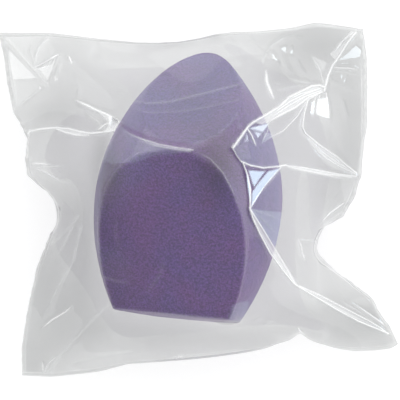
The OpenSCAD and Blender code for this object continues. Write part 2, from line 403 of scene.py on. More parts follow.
# ------------------------------------------------------------------ the film
P, HX, HY = simulate()


def off_foam(Q, gap, sign, n=2, up=False):
    """points nearer than gap to the foam are moved out of it"""
    for _ in range(n):
        S = foam_sdf(Q, 0.4) - gap
        ins = S < 0
        if not ins.any():
            break
        R = Q[ins]
        if up:
            R[:, 2] += sign * np.minimum(-S[ins] * 1.3, 1.0)
        else:
            g = np.stack([(foam_sdf(R + e, 0.4) - foam_sdf(R - e, 0.4)) for e in np.eye(3) * 0.05], 1) / 0.1
            g /= np.linalg.norm(g, axis=1)[:, None] + 1e-9
            bad = g[:, 2] * sign < -0.25
            g[bad] = 0
            g[bad, 2] = sign
            R -= g * S[ins][:, None]
        Q[ins] = R
    return Q


def calm(Q, n, sign, share=0.5):
    """smooths out the small wrinkles; the rim stays"""
    Q = Q.copy()
    for _ in range(n):
        a = (Q[:-2, 1:-1] + Q[2:, 1:-1] + Q[1:-1, :-2] + Q[1:-1, 2:]) / 4
        Q[1:-1, 1:-1] += share * (a - Q[1:-1, 1:-1])
        Q = off_foam(Q, 0.3, sign, 1)
        Q[..., 2] = np.maximum(Q[..., 2], 0.05)
    return Q


GROW = 2
front, back = grow(calm(P[0], 130, 1), GROW), grow(calm(P[1], 150, -1), GROW)
RIMW = GROW  # one coarse cell is welded


def seen(Q):
    """where a point appears in the 400 x 400 frame"""
    f = 0.2253 * (1 + (21.5 - Q[..., 2]) / 700)
    return np.stack([199.65 + Q[..., 0] / f, 199.75 - Q[..., 1] / f], -1)


# where the rim still stands a little off its place: middle and reach in the frame, how far to go there
NUDGES = [
    ((326, 250), (12, 15), (-7.5, 0.5)),
    ((336, 218), (14, 9), (2.5, -0.5)),
    ((369, 299), (15, 15), (2.2, -1.8)),
    ((300, 341), (6.5, 7), (0, -6.0)),
    ((367, 142), (16, 32), (3.0, 0)),
    ((6, 84), (20, 40), (-4.2, 0)),
    ((2, 34), (14, 12), (-1.8, -1.5)),
    ((36, 178), (14, 15), (-3.2, 0)),
    ((44, 192), (10, 10), (-2.0, 0.5)),
]


def nudge(Q):
    S = seen(Q)
    f = 0.2253 * (1 + (21.5 - Q[..., 2]) / 700)
    for mid, reach, (dx, dy) in NUDGES:
        k = np.exp(-(((S - mid) / reach) ** 2).sum(-1)) * f
        Q[..., 0] += k * dx
        Q[..., 1] -= k * dy
    return Q


front, back = nudge(front), nudge(back)


def near_line(S, pts, reach=12.0):
    """distance from seen points to a polyline, and how far along it, 0 to 1"""
    pts = np.array(pts, float)
    best = np.full(len(S), 1e9)
    along = np.zeros(len(S))
    lo_, hi_ = pts.min(0) - reach, pts.max(0) + reach
    near = np.nonzero(((S > lo_) & (S < hi_)).all(1))[0]
    R = S[near]
    seg = np.diff(pts, axis=0)
    length = np.linalg.norm(seg, axis=1)
    at = np.r_[0, np.cumsum(length)]
    b, al = best[near], along[near]
    for a, d, l, s0 in zip(pts[:-1], seg, length, at[:-1]):
        t = np.clip(((R - a) @ d) / (l * l), 0, 1)
        dist = np.hypot(R[:, 0] - a[0] - t * d[0], R[:, 1] - a[1] - t * d[1])
        m = dist < b
        b[m] = dist[m]
        al[m] = (s0 + t[m] * l) / at[-1]
    best[near], along[near] = b, al
    return best, along


def inside(S, poly):
    poly = np.array(poly, float)
    c = np.zeros(S.shape[:-1], bool)
    for (x0, y0), (x1, y1) in zip(poly, np.roll(poly, -1, 0)):
        hit = (y0 > S[..., 1]) != (y1 > S[..., 1])
        c ^= hit & (S[..., 0] < (x1 - x0) * (S[..., 1] - y0) / (y1 - y0 + 1e-12) + x0)
    return c


# Where the lights stand, as directions from the pouch
WIN_R = (0.80, 0.55, 0.22)
WIN_S = (0.985, 0.09, 0.13)
WIN_L = (-0.86, 0.45, 0.22)
EYE = np.array(cam_ob.location) / MM


def toward(d, dist=0.9):
    d = np.array(d) / np.linalg.norm(d)
    return tuple(d * dist + (0, 0, 0.02))


# creases of the front panel: points in the 400 x 400 frame, height mm, width, whiteness (partly crease whitening,
# partly painted highlight along the crease), free ends
CREASES = [
    # top right corner and its hub
    ([(360, 27), (348, 42), (337, 59.5), (332.5, 65.5), (328, 76), (324, 91)], 0.9, 3.2, 1.0, (0, 0)),
    ([(357, 29), (344, 40), (332, 55)], 0.6, 2.6, 0.7, (0, 1)),
    ([(352, 31), (340, 43), (333, 54)], 0.4, 2.0, 0.5, (0, 1)),
    ([(324, 87), (319, 85.5), (311, 86.5), (302, 91), (290, 97), (278.5, 107.5), (264.5, 116), (254, 122), (247.5, 127.5), (233, 148)], 1.0, 3.6, 1.0, (0, 0)),
    ([(322, 92), (309, 97), (295, 107.5), (286, 112), (270.5, 120.5), (262, 124)], 0.7, 3.0, 1.0, (0, 1)),
    ([(320, 88.5), (306, 93.5), (291, 101), (278, 110), (266, 117.5)], 0.35, 2.2, 1.0, (0, 1)),
    ([(318, 95), (304, 102), (292, 109), (281, 115), (270, 119)], 0.35, 1.6, 0.5, (0, 1)),
    ([(321, 90.5), (305, 96.5), (289, 105.5), (277, 113.5), (264, 121)], 0.3, 2.0, 1.0, (0, 1)),
    ([(316, 89.5), (300, 94), (286, 101)], 0.3, 2.0, 0.95, (0, 1)),
    ([(309, 97), (297.5, 116), (290, 124), (283, 131), (271.5, 137), (261, 141.5)], 0.5, 2.8, 0.45, (0, 1)),
    ([(312, 96), (303, 108), (295, 118)], 0.3, 2.0, 0.4, (0, 1)),
    ([(322, 92), (308, 99.5), (304, 114.5), (302.5, 127.5), (305.5, 133.5), (319.5, 145), (337, 157), (349, 167.5), (361, 176)], 0.7, 2.3, 0.85, (0, 0)),
    ([(308, 138), (317, 150), (325.5, 158), (337, 165), (351, 172), (361, 176)], 0.5, 2.2, 0.55, (1, 0)),
    ([(312, 143), (325, 154), (340, 164), (356, 173)], 0.3, 1.6, 0.6, (1, 1)),
    ([(335, 67.5), (347, 68), (360, 69.5)], 0.3, 2.4, 0.4, (0, 1)),
    ([(335, 71), (348, 72.5), (360, 74)], 0.2, 2.2, 0.15, (0, 1)),
    ([(265.5, 67), (267, 82), (270.5, 91), (275, 101)], 0.5, 4.2, 0.8, (1, 1)),
    ([(296, 34), (281, 39), (270, 47), (264, 58), (263, 68)], 0.35, 4.0, 0.12, (1, 1)),
    ([(294, 36), (299, 38), (303, 36)], 0.3, 2.4, 0.2, (1, 1)),
    ([(283, 56), (286, 66), (292, 74)], 0.3, 3.0, 0.08, (1, 1)),
    ([(288, 77), (300, 81), (314, 83)], 0.25, 2.6, 0.12, (1, 1)),
    ([(297, 58), (300, 68), (306, 76)], 0.25, 3.0, 0.07, (1, 1)),
    ([(338, 84), (350, 87), (360, 86)], 0.2, 3.0, 0.08, (1, 1)),
    ([(345, 62), (346, 76), (344, 92)], 0.2, 3.0, 0.07, (1, 1)),
    ([(266, 90), (280, 88), (300, 85), (318, 86)], 0.25, 4.0, 0.08, (1, 0)),
    ([(268, 80), (285, 84), (305, 86)], 0.2, 3.0, 0.06, (1, 1)),
    ([(313, 57), (319, 68), (324, 84)], 0.35, 2.6, 0.35, (1, 0)),
    ([(326, 93), (328, 105), (330, 119)], 0.3, 1.8, 0.7, (0, 1)),
    ([(320, 95), (317, 106), (316, 117)], 0.3, 1.8, 0.7, (0, 1)),
    ([(316, 97), (312, 105), (311, 114)], 0.3, 1.6, 0.6, (0, 1)),
    ([(340, 92), (344, 108), (350, 125)], 0.25, 4.0, 0.06, (1, 1)),
    ([(330, 80), (345, 88), (360, 92)], 0.25, 4.0, 0.07, (0, 1)),
    ([(361.5, 44), (361.8, 80), (362.2, 110), (361.5, 140), (360.5, 174)], 0.12, 2.2, 0.3, (1, 1)),
    # over the right shoulder
    ([(233, 149), (237.5, 157), (241, 161.5)], 0.5, 2.2, 0.5, (0, 0)),
    ([(241, 161.5), (250.5, 165.5), (263.5, 168), (278.5, 166.5), (286, 165)], 0.7, 2.6, 0.9, (0, 0)),
    ([(283, 165.5), (302, 167.5), (319.5, 171), (337, 174), (361, 177)], 0.5, 2.4, 0.6, (0, 0)),
    ([(280, 166), (300, 170), (325, 175), (352, 180)], 0.35, 3.2, 0.5, (1, 1)),
    ([(247.5, 128.5), (252, 136), (256.5, 147)], 0.5, 2.2, 0.9, (0, 1)),
    ([(233.5, 147), (247, 128.5)], 0.3, 4.6, 0.75, (1, 1)),
    ([(262, 143), (269, 128), (271, 123)], 0.3, 1.6, 0.45, (1, 1)),
    ([(243, 163), (247.5, 175), (250.5, 190), (250, 209)], 0.7, 2.4, 0.9, (0, 0)),
    ([(281, 167), (268, 182), (257, 197), (250, 209)], 0.6, 2.4, 0.6, (0, 0)),
    # from the shoulder to the lower right corner
    ([(250, 209), (253, 219), (260, 234), (270.5, 253.5), (282, 269.5), (293.5, 283.5), (300.5, 288), (317.5, 298), (335, 308.5), (358, 321), (381, 330.5), (390, 334)], 1.0, 3.0, 1.0, (0, 0)),
    ([(251, 210), (266, 234), (275, 249), (289, 273), (295, 283.5)], 0.4, 2.0, 0.85, (0, 0)),
    ([(252, 215), (263, 236), (274, 254), (285, 270)], 0.3, 1.6, 0.6, (0, 1)),
    ([(250, 209), (266, 214), (281, 220)], 0.2, 2.4, 0.12, (0, 1)),
    ([(250, 209), (265, 222), (278, 236)], 0.2, 2.4, 0.12, (0, 1)),
    ([(300, 286.5), (323, 297), (346, 309), (369, 321), (381, 328), (388, 334)], 0.6, 2.6, 0.9, (0, 0)),
    ([(305, 291), (328, 303), (350, 315), (372, 326)], 0.3, 1.6, 0.7, (1, 1)),
    ([(352, 302), (369, 314), (383, 323.5), (394, 331)], 0.5, 2.6, 0.7, (1, 0)),
    ([(340, 300), (360, 312), (380, 325)], 0.3, 2.0, 0.3, (1, 1)),
    ([(299, 238), (302.5, 253.5), (307, 263)], 0.4, 2.6, 0.4, (1, 1)),
    ([(320, 224), (330, 213), (348, 200)], 0.45, 2.6, 0.6, (1, 1)),
    ([(322, 230), (333, 218), (345, 208)], 0.3, 2.6, 0.25, (1, 1)),
    ([(300, 240), (317, 240.5)], 0.3, 2.4, 0.2, (1, 0)),
    # top left corner
    ([(1, 35), (8, 40), (23, 57), (39.5, 76), (46, 84), (48, 95)], 0.35, 5.0, 0.2, (0, 1)),
    ([(49, 37), (38.5, 48), (36, 55.5), (34.5, 66), (39, 76)], 0.35, 4.6, 0.22, (0, 0)),
    ([(37, 67), (57.5, 55.5)], 0.4, 2.6, 0.55, (0, 1)),
    ([(36, 70), (47, 66), (52, 58)], 0.3, 2.2, 0.35, (0, 1)),
    ([(3, 42), (9, 62), (15, 81), (15, 108)], 0.5, 3.4, 0.25, (0, 0)),
    ([(13, 81), (36, 78.5)], 0.25, 2.6, 0.15, (0, 0)),
    ([(15, 109), (33, 95.5), (44, 87)], 0.3, 4.5, 0.1, (0, 0)),
    ([(68.5, 55), (72, 64)], 0.35, 2.8, 0.85, (1, 1)),
    ([(50, 58.5), (57.5, 55.3)], 0.25, 2.6, 0.9, (1, 0)),
    ([(39, 86), (41, 90)], 0.2, 2.6, 0.6, (1, 1)),
    ([(31, 44), (30, 52), (35, 63)], 0.25, 2.4, 0.15, (1, 0)),
    ([(48, 84), (57, 74), (60, 60), (56, 48), (47, 38)], 0.3, 4.0, 0.08, (1, 1)),
    ([(78, 105), (79, 90), (72, 75)], 0.25, 4.0, 0.05, (1, 1)),
    # left waist
    ([(73, 98.5), (81.5, 103), (97, 110.5), (108.5, 115.5), (118, 121.5)], 0.8, 4.0, 1.0, (1, 0)),
    ([(24, 139), (29.5, 131.5), (42, 129), (57.5, 128), (69, 129), (79, 131.5), (89.5, 133.5), (102, 132.5), (113, 131)], 0.8, 3.0, 0.9, (0, 0)),
    ([(57, 129), (66, 132.5), (76.5, 135), (89, 135)], 0.5, 3.0, 0.9, (0, 1)),
    ([(85, 112), (97, 121), (106, 131)], 0.3, 2.2, 0.25, (1, 0)),
    ([(96, 131), (106, 124), (116, 122)], 0.3, 2.4, 0.8, (1, 0)),
    ([(30, 130), (26, 142), (24.5, 156)], 0.4, 2.8, 0.6, (0, 1)),
    ([(30, 164), (38, 163.5), (50, 164.5)], 0.45, 2.2, 0.8, (1, 1)),
    ([(32, 166.5), (50, 167), (66, 166)], 0.3, 2.2, 0.3, (1, 1)),
    ([(30, 167.5), (42, 170.5), (66.5, 184)], 0.4, 2.6, 0.4, (1, 1)),
    ([(118, 121.5), (113, 131), (108, 146), (101, 165), (95, 190)], 0.35, 3.5, 0.15, (0, 1)),
    # lower left
    ([(40, 330), (52, 320), (65.5, 312), (72.5, 305)], 0.6, 2.2, 1.0, (1, 1)),
    ([(46, 375), (59, 358), (78.5, 335.5), (94, 318.5), (109, 305)], 0.4, 5.5, 0.14, (0, 0)),
    ([(44, 373), (48, 365), (60, 352)], 0.3, 3.0, 0.3, (0, 1)),
    ([(77, 217), (73, 224.5), (59, 239), (43, 251)], 0.4, 5.0, 0.12, (0, 1)),
    ([(76, 217), (65.5, 243), (54, 262)], 0.4, 5.0, 0.1, (0, 1)),
    ([(81, 226), (73, 261), (59, 285), (42, 320)], 0.45, 6.0, 0.1, (0, 1)),
    ([(43, 361), (43, 372)], 0.3, 2.0, 0.7, (1, 1)),
    ([(60, 366), (100, 357), (150, 350)], 0.3, 6.0, 0.05, (1, 1)),
    ([(176, 357), (184, 356)], 0.3, 2.4, 0.6, (1, 1)),
    ([(297.5, 327), (300, 331), (304, 334)], 0.2, 2.4, 0.7, (1, 1)),
    ([(252, 322), (258, 318), (262, 320)], 0.25, 3.0, 0.1, (1, 1)),
    ([(262, 326), (270, 321), (279, 324)], 0.25, 3.0, 0.12, (1, 1)),
    # over the upper flat
    ([(124, 130), (131, 134.5), (140, 138.5), (159.5, 144.5), (178.5, 148), (193, 150)], 0.16, 2.6, 0.42, (1, 0)),
    ([(138, 139.5), (155, 145.5), (176, 149.5), (190, 151)], 0.15, 4.0, 0.25, (1, 0)),
    ([(134, 101.5), (150.5, 103), (172, 101), (189, 96.5), (215, 90), (243, 83.5)], 0.12, 2.6, 0.09, (0, 0)),
    ([(136, 110.5), (153, 112), (178.5, 111), (200, 108), (243, 98)], 0.10, 2.4, 0.04, (0, 0)),
    ([(166, 255), (160, 275), (145, 295)], 0.1, 7.0, 0.035, (1, 1)),
    ([(103, 276), (118, 281), (135, 283.5)], 0.1, 3.0, 0.045, (0, 1)),
    ([(117, 215), (116, 235), (120, 252)], 0.1, 4.0, 0.04, (1, 1)),
    ([(195, 151.5), (210, 159), (223, 173), (233, 192), (239.5, 212)], 0.10, 2.4, 0.17, (1, 1)),
]

# flat facets: corners in the 400 x 400 frame, the light that they mirror
FACETS = [
    ([(338, 61), (356, 45.5), (362, 50), (360, 57)], WIN_R),
    ([(317, 99.5), (316, 114.5), (330, 119.5), (328, 97)], WIN_R),
    ([(311.5, 102), (310, 113.5), (314, 115), (315.5, 101)], WIN_R),
    ([(248.5, 170.5), (265, 171.5), (254, 186)], WIN_S),
    ([(268, 171.5), (280, 168.5), (264, 187), (251.5, 206.5), (251.5, 195), (257, 185)], WIN_S),
    ([(246, 170), (250.5, 186), (250.3, 202), (248, 188)], WIN_S),
    ([(249, 128.5), (270, 123), (262, 133)], WIN_R),
    ([(253, 131), (262, 133.5), (258, 138)], WIN_R),
    ([(245, 141.5), (247.5, 132), (248.5, 141)], WIN_R),
    ([(280, 48), (286, 46.5), (286.5, 54)], WIN_R),
    ([(292, 47), (293.5, 54), (290, 53.5)], WIN_R),
    ([(272, 52), (280, 63), (272, 58)], WIN_R),
    ([(8, 48), (13, 80), (35.5, 78)], WIN_L),
    ([(51, 64.5), (57.5, 55.5), (47.5, 80), (38, 68)], WIN_L),
    ([(108.5, 116), (117, 121), (110, 130)], WIN_R),
]

# painted reflections and highlights on the film: corners in the frame, veil (painted reflection, a pale bluish
# diffuse where foam is behind), whiteness (painted highlight), soft edge in px
PAINTED_REFLECTIONS = [
    ([(107, 140), (101, 158), (96, 180), (93.5, 200), (93, 230), (95, 252), (99.5, 252), (98, 230), (98.5, 208), (101, 188), (105.5, 165), (110, 148)], 0.035, 0, 0.9),
    ([(101, 256), (116, 252), (128, 262), (131, 278), (122, 281), (112, 279), (104, 276)], 0.012, 0, 3.0),
    ([(207, 49), (225, 56), (241, 78), (243, 83), (215, 89.5), (189, 96), (172, 100.5), (150, 102.5), (130, 101), (112, 96),
      (130, 80), (150, 60), (175, 48)], 0.085, 0, 0.7),
    ([(243, 84), (244.5, 91), (243, 97.5), (200, 107.5), (178, 110.5), (153, 111.5), (132, 110), (110, 108), (120, 99.5), (150, 103),
      (172, 101), (189, 96.5), (215, 90)], 0.075, 0, 0.6),
    ([(243.5, 98.5), (241, 109), (238, 115), (222, 132), (198, 143.5), (171, 141), (144, 133.5), (119, 121), (106, 116), (110, 108.5),
      (136, 111), (153, 112.5), (178, 111.5), (200, 108.5)], 0.065, 0, 0.8),
    ([(119, 125), (131, 135), (159, 146), (191, 150.5), (176, 153), (153, 155), (135, 162), (111, 163), (101, 158), (108, 138)], 0.075, 0, 0.7),
    ([(122, 129), (131, 135), (159, 146), (165, 149), (150, 151), (132, 150)], 0.105, 0, 1.2),
    ([(226, 57), (243, 80), (262, 104), (272, 124), (262, 124), (247, 127), (238, 128), (239, 115), (244.5, 105), (246, 91), (242, 80)], 0.055, 0, 0.8),
    ([(233, 148), (247, 128), (272, 122), (277, 140), (283, 166), (262, 168), (243, 163)], 0.11, 0, 0.8),
    ([(250, 209), (281, 213), (284, 225), (275, 246), (262, 227)], 0.2, 0, 0.7),
    ([(233, 306), (240, 303), (248, 302), (244, 318), (238, 323), (229, 320), (232, 312)], 0.10, 0, 1.2),
    ([(250, 209), (281, 168), (286, 185), (283, 213)], 0.09, 0, 0.7),
    ([(248.5, 170.5), (265, 171.5), (254, 186)], 0.26, 0.08, 0.5),
    ([(268, 171.5), (280, 168.5), (264, 187), (251.5, 206.5), (251.5, 195), (257, 185)], 0.26, 0.08, 0.5),
    ([(246, 170), (250.5, 186), (250.3, 202), (248, 188)], 0.28, 0.12, 0.5),
    ([(249, 128.5), (270, 123), (262, 133)], 0.28, 0.12, 0.5),
    ([(253, 131), (262, 133.5), (258, 138)], 0.2, 0.1, 0.5),
    ([(262, 143), (265, 133), (272, 134), (284, 129)], 0.2, 0.1, 0.6),
    ([(324, 87), (311, 86.5), (302, 91), (290, 97), (278.5, 107.5), (264.5, 116), (254, 122), (262, 124), (270.5, 120.5), (286, 112), (295, 107.5),
      (309, 97), (322, 92)], 0, 0.42, 0.8),
    ([(335, 62), (348, 42), (359, 28), (354, 40), (338, 62), (332, 74), (329, 76)], 0, 0.14, 0.8),
    ([(313, 57), (326, 63), (322, 72), (317, 67)], 0, 0.24, 0.8),
    ([(331, 54), (345, 42), (349, 43.5), (335, 59)], 0, 0.3, 0.7),
    ([(96, 110), (108.5, 115), (118, 121), (114, 131), (104, 132.5), (110, 124), (106, 118)], 0, 0.5, 0.8),
    ([(57, 128.5), (72, 129.5), (89, 133.5), (89, 135.5), (76, 135.5), (66, 133)], 0, 0.5, 0.7),
    ([(308, 138), (323, 147), (349, 167), (361, 176), (337, 165), (325, 158), (317, 150)], 0, 0.28, 0.8),
    ([(320, 150), (345, 168), (340, 170), (328, 166), (322, 158)], 0, 0.12, 0.8),
    ([(286, 165.8), (304, 167.6), (320, 170.6), (352, 177), (320, 173.8), (300, 169.8)], 0, 0.62, 0.7),
    ([(295, 284), (317, 297), (358, 320), (388, 334), (369, 322), (340, 306), (318, 294)], 0, 0.35, 0.8),
    ([(251, 210), (262, 228), (275, 249), (290, 273), (297, 285), (282, 269), (270, 253), (260, 234)], 0, 0.4, 0.8),
    ([(8, 48), (13, 80), (35.5, 78), (22, 60)], 0, 0.10, 0.8),
    ([(13, 82), (36, 79.5), (46, 86), (16, 108)], 0, 0.07, 0.8),
    ([(51, 64.5), (57.5, 55.5), (47.5, 80), (38, 68)], 0, 0.10, 0.8),
    ([(316, 98), (328, 97), (330, 119), (311, 113)], 0, 0.12, 0.8),
    ([(30, 162), (55, 164), (66, 184), (50, 176), (32, 168)], 0, 0.06, 1.0),
]


# painted shade on the film, greyer where listed: middle and half widths in the frame, how much
PAINTED_SHADE = [
    ((50, 300), (66, 84), 1.0),
    ((62, 205), (44, 52), 0.55),
    ((30, 132), (36, 34), 0.35),
    ((318, 36), (52, 42), 1.0),
    ((356, 118), (24, 56), 0.9),
    ((376, 322), (44, 28), 0.95),
    ((330, 196), (20, 34), 0.45),
    ((240, 336), (100, 18), 0.55),
    ((50, 112), (34, 15), 0.4),
    ((282, 78), (18, 12), 0.35),
    ((348, 165), (22, 30), 0.35),
    ((82, 250), (10, 44), 0.3),
    ((312, 310), (40, 14), 0.4),
    ((66, 100), (26, 44), 0.35),
    ((135, 338), (56, 22), 0.35),
    ((104, 166), (13, 40), 0.9),
    ((113, 172), (9, 13), 0.6),
    ((219, 166), (20, 34), 0.95),
    ((190, 105), (42, 44), 0.38),
    ((205, 38), (62, 12), 0.4),
]


def foam_top(Q):
    """height of the foam under each point, below -1000 where there is none"""
    z = np.arange(45.0, 0.0, -0.5)
    top = np.full(len(Q), -2000.0)
    R = Q.copy()
    for h in z:
        R[:, 2] = h
        hit = (foam_sdf(R, 0.7) < 0) & (top < 0)
        top[hit] = h + 0.25
    return top


def over_foam(Q):
    """1 where the eye sees foam behind the point, 0 beside it"""
    ray = Q - EYE
    ray /= np.linalg.norm(ray, axis=1)[:, None]
    best = np.full(len(Q), 1e9)
    for t in np.arange(-2.0, 40.0, 1.0):
        best = np.minimum(best, foam_sdf(Q + ray * t, 0.7))
    return np.clip(0.5 - best / 0.3, 0, 1)


def crumple(Q):
    """raises the creases and lays the facets flat; returns points, whiteness (crease whitening and painted
    highlight), painted reflection and painted shade
    """
    Q = Q.copy()
    S = seen(Q)
    rim = seen(np.concatenate([RIM, RIM[:1]]))
    inner = np.clip((near_line(S, rim, 20.0)[0] - 4.0) / 5.0, 0, 1)
    lift = np.zeros(len(Q))
    whitening_and_highlight = np.zeros(len(Q))
    foam_behind = over_foam(Q)
    for pts, h, w, wh, (a, b) in CREASES:
        d, t = near_line(S, pts)
        k = np.ones(len(Q))
        if a:
            k *= np.clip(t / 0.3, 0, 1)
        if b:
            k *= np.clip((1 - t) / 0.3, 0, 1)
        lift = np.maximum(lift, h * k * np.exp(-d / (0.5 * w)))
        # whiteness along the crease: partly crease whitening, partly painted highlight
        whitening_and_highlight = np.maximum(whitening_and_highlight, wh * k * np.exp(-((d / (0.28 * w)) ** 2)))
    # painted reflection (veil) and painted highlight (whiteness) patches
    painted_reflection = np.zeros(len(Q))
    for poly, reflection_amount, wh, soft in PAINTED_REFLECTIONS:
        d, _ = near_line(S, list(poly) + [poly[0]])
        share = np.where(inside(S, poly), 1.0, np.exp(-((d / soft) ** 2)))
        painted_reflection = np.maximum(painted_reflection, reflection_amount * share * foam_behind)
        whitening_and_highlight = np.maximum(whitening_and_highlight, wh * share)
    Q[:, 2] += lift * inner
    for poly, light in FACETS:
        m = inside(S, poly)
        if m.sum() < 3:
            continue
        c = Q[m].mean(0)
        a, b = EYE - c, np.array(toward(light)) / MM - c
        n = a / np.linalg.norm(a) + b / np.linalg.norm(b)
        n /= np.linalg.norm(n)
        slope = -(n[0] * (Q[:, 0] - c[0]) + n[1] * (Q[:, 1] - c[1])) / n[2]
        up = max(0.0, (foam_top(Q[m]) + 0.3 - c[2] - slope[m]).max())
        d, _ = near_line(S, list(poly) + [poly[0]])
        share = np.where(m, 1.0, np.exp(-((d / (0.9 + 0.5 * up)) ** 2)))
        Q[:, 2] += (c[2] + up + slope - Q[:, 2]) * share
    # painted shade: soft grey patches on the film
    painted_shade = np.zeros(len(Q))
    for mid, half, much in PAINTED_SHADE:
        painted_shade += much * np.exp(-(((S - mid) / half) ** 2).sum(1))
    return off_foam(Q, 0.28, 1, 4, up=True), whitening_and_highlight, painted_reflection, np.clip(painted_shade, 0, 1)


def refine(ob):
    """smaller faces along the creases and around the facets"""
    lines = [c[0] for c in CREASES if c[3] > 0.08] + [list(f[0]) + [f[0][0]] for f in FACETS + PAINTED_REFLECTIONS]
    for reach in (2.7, 1.25):
        bm = bmesh.new()
        bm.from_mesh(ob.data)
        co = np.array([v.co for v in bm.verts]) / MM
        S = seen(co)
        near = np.full(len(S), 1e9)
        for l in lines:
            near = np.minimum(near, near_line(S, l, 6.0)[0])
        for poly, _ in FACETS:
            near[inside(S, poly)] = 0
        bm.verts.ensure_lookup_table()
        hot = near < reach
        edges = [e for e in bm.edges if hot[e.verts[0].index] and hot[e.verts[1].index]]
        bmesh.ops.subdivide_edges(bm, edges=edges, cuts=1, use_grid_fill=True)
        bm.to_mesh(ob.data)
        bm.free()
    ob.data.polygons.foreach_set("use_smooth", np.full(len(ob.data.polygons), True))


def film_mat(name, tint, haze, rough, bump, with_painted_light=False, steep=0.7):
    m, nd, ln = node_mat(name)
    out = nd.new("ShaderNodeOutputMaterial")
    tr = nd.new("ShaderNodeBsdfTransparent")
    tr.inputs["Color"].default_value = tint
    gl = nd.new("ShaderNodeBsdfGlossy")
    gl.inputs["Color"].default_value = (1, 1, 1, 1)
    gl.inputs["Roughness"].default_value = rough
    df = nd.new("ShaderNodeBsdfDiffuse")
    df.inputs["Color"].default_value = (0.87, 0.875, 0.885, 1)
    lw = nd.new("ShaderNodeLayerWeight")
    lw.inputs["Blend"].default_value = 0.5
    pw = nd.new("ShaderNodeMath")
    pw.operation = "POWER"
    pw.inputs[1].default_value = 4.0
    ln.new(lw.outputs["Facing"], pw.inputs[0])
    mt = nd.new("ShaderNodeMath")
    mt.operation = "MULTIPLY_ADD"
    mt.inputs[1].default_value = steep
    mt.inputs[2].default_value = 0.085
    ln.new(pw.outputs[0], mt.inputs[0])
    mh = nd.new("ShaderNodeMixShader")
    mh.inputs[0].default_value = haze
    if with_painted_light:
        # whiteness along creases and patches, partly crease whitening and partly painted highlight, mixes in the
        # white diffuse
        at = nd.new("ShaderNodeAttribute")
        at.attribute_name = "crease_whitening_and_highlight"
        ha = nd.new("ShaderNodeMath")
        ha.operation = "MULTIPLY_ADD"
        ha.inputs[1].default_value = 0.92
        ha.inputs[2].default_value = haze
        ln.new(at.outputs["Fac"], ha.inputs[0])
        ln.new(ha.outputs[0], mh.inputs[0])
        # painted reflection: a pale bluish diffuse, mixed in by the attribute below
        dv = nd.new("ShaderNodeBsdfDiffuse")
        dv.inputs["Color"].default_value = (0.70, 0.86, 1.0, 1)
        av = nd.new("ShaderNodeAttribute")
        av.attribute_name = "painted_reflection"
        mv = nd.new("ShaderNodeMixShader")
        ln.new(av.outputs["Fac"], mv.inputs[0])
        # painted shade: a darker transparent tint, mixed in by the attribute below
        tg = nd.new("ShaderNodeBsdfTransparent")
        tg.inputs["Color"].default_value = (tint[0] * 0.70, tint[1] * 0.70, tint[2] * 0.705, 1)
        ag = nd.new("ShaderNodeAttribute")
        ag.attribute_name = "painted_shade"
        mg = nd.new("ShaderNodeMixShader")
        ln.new(ag.outputs["Fac"], mg.inputs[0])
        ln.new(tr.outputs[0], mg.inputs[1])
        ln.new(tg.outputs[0], mg.inputs[2])
        ln.new(mg.outputs[0], mv.inputs[1])
        ln.new(dv.outputs[0], mv.inputs[2])
        ln.new(mv.outputs[0], mh.inputs[1])
    else:
        ln.new(tr.outputs[0], mh.inputs[1])
    ln.new(df.outputs[0], mh.inputs[2])
    mx = nd.new("ShaderNodeMixShader")
    ln.new(mt.outputs[0], mx.inputs[0])
    ln.new(mh.outputs[0], mx.inputs[1])
    ln.new(gl.outputs[0], mx.inputs[2])
    tc = nd.new("ShaderNodeTexCoord")
    n = nd.new("ShaderNodeTexNoise")
    n.inputs["Scale"].default_value = 260.0
    n.inputs["Detail"].default_value = 3.0
    ln.new(tc.outputs["Object"], n.inputs["Vector"])
    b = nd.new("ShaderNodeBump")
    b.inputs["Strength"].default_value = bump
    b.inputs["Distance"].default_value = 0.0003
    ln.new(n.outputs["Fac"], b.inputs["Height"])
    ln.new(b.outputs["Normal"], gl.inputs["Normal"])
    ln.new(mx.outputs[0], out.inputs["Surface"])
    return m


film = film_mat("film", (0.823, 0.826, 0.826, 1), 0.012, 0.05, 0.04, steep=0.5)
# the front film's material: painted highlight, painted reflection and painted shade come from its attributes
film_painted = film_mat("film_painted_light", (0.868, 0.871, 0.871, 1), 0.012, 0.05, 0.04, True)
weldm = film_mat("weld", (0.815, 0.818, 0.818, 1), 0.03, 0.14, 0.2, steep=0.25)

r = RIMW
fo = mesh_from("film_front", front[r:-r, r:-r].reshape(-1, 3), grid_faces(*front[r:-r, r:-r].shape[:2]))
refine(fo)
co = np.empty(len(fo.data.vertices) * 3, np.float32)
fo.data.vertices.foreach_get("co", co)
co, whitening_and_highlight, painted_reflection, painted_shade = crumple(co.reshape(-1, 3).astype(float) / MM)
fo.data.vertices.foreach_set("co", (co * MM).astype(np.float32).ravel())
fo.data.update()
bo = mesh_from("film_back", back[r:-r, r:-r].reshape(-1, 3), grid_faces(*back[r:-r, r:-r].shape[:2], flip=True))
# whiteness (crease whitening and painted highlight), painted reflection and painted shade, stored per vertex
for name, val in (("crease_whitening_and_highlight", whitening_and_highlight), ("painted_reflection", painted_reflection), ("painted_shade", painted_shade)):
    fo.data.attributes.new(name, "FLOAT", "POINT").data.foreach_set("value", val.astype(np.float32))
for ob, cad, held in ((fo, "front_film", "stretched"), (bo, "back_film", "laid")):
    ob.data.materials.append(film_painted if ob is fo else film)
    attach(ob, "root")
    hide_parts(cad)


